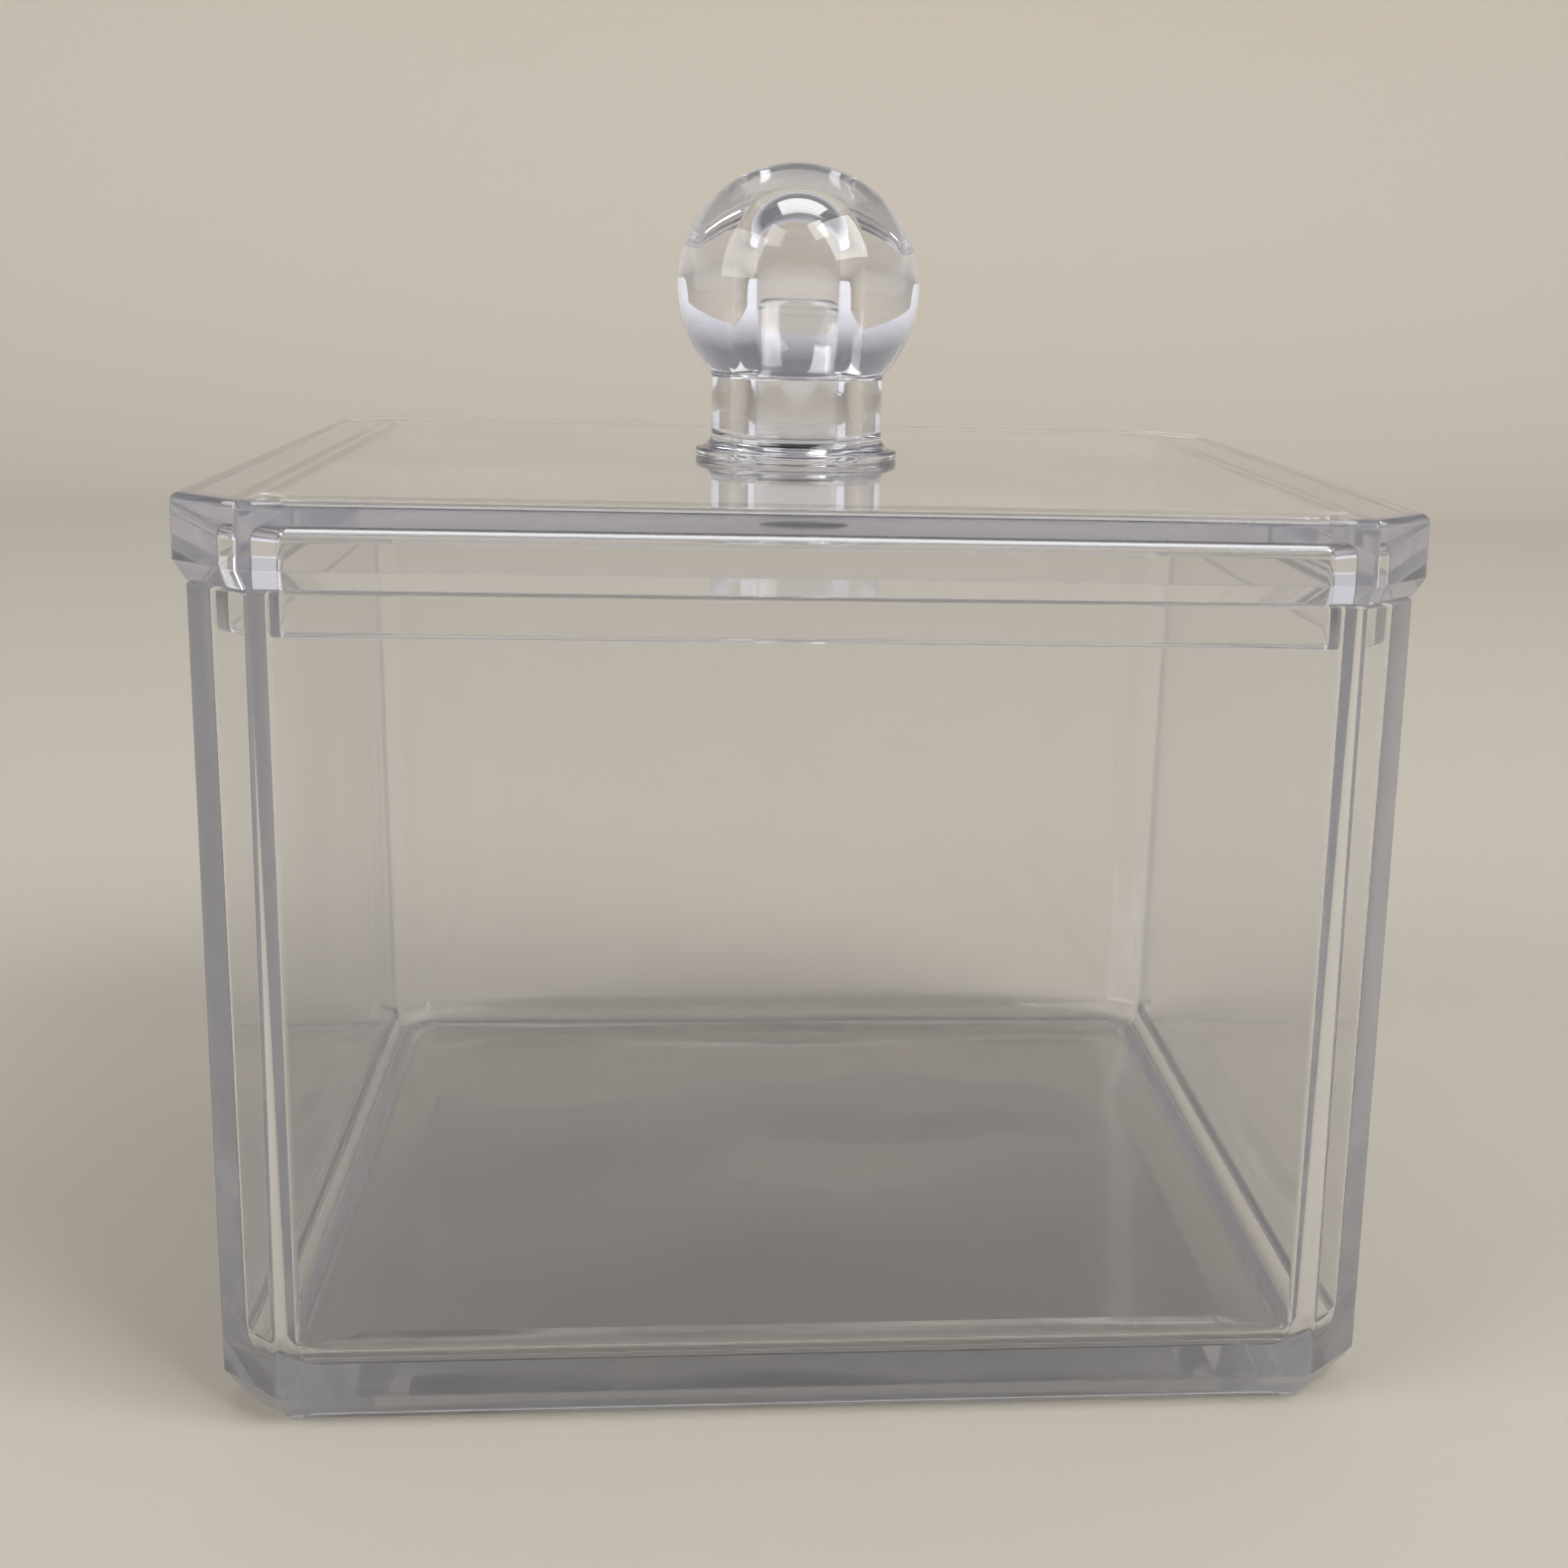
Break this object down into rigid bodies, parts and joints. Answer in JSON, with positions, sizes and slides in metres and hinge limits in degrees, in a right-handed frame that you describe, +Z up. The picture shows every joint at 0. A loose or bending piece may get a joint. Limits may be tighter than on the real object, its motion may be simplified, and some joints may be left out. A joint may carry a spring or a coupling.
{
  "type": "makeup organizer box",
  "caption": "Clear square storage box with 45-degree cut corners, a lift-off lid with a locating lip, and a hollow ball knob on the lid.",
  "frame": {"origin": "middle of the foot, on the surface that the box stands on", "axes": "+Z up through the knob, -Y towards the front face, +X to the viewer's right"},
  "size_m": [0.1, 0.1, 0.1045],
  "materials": {
    "clear_body": "polished clear moulding with a faint lavender tint at its edges",
    "clear_lid": "polished clear moulding with a faint lavender tint at its edges",
    "clear_knob": "polished clear moulding, bright where the ball curves"
  },
  "bodies": {
    "box": {"box_body": "clear_body"},
    "lid": {"lid": "clear_lid", "knob": "clear_knob"}
  },
  "joints": [
    {"name": "lid_lift", "type": "slide", "parent": "box", "child": "lid", "axis": [0, 0, 1], "range_m": [0, 0.08]}
  ]
}
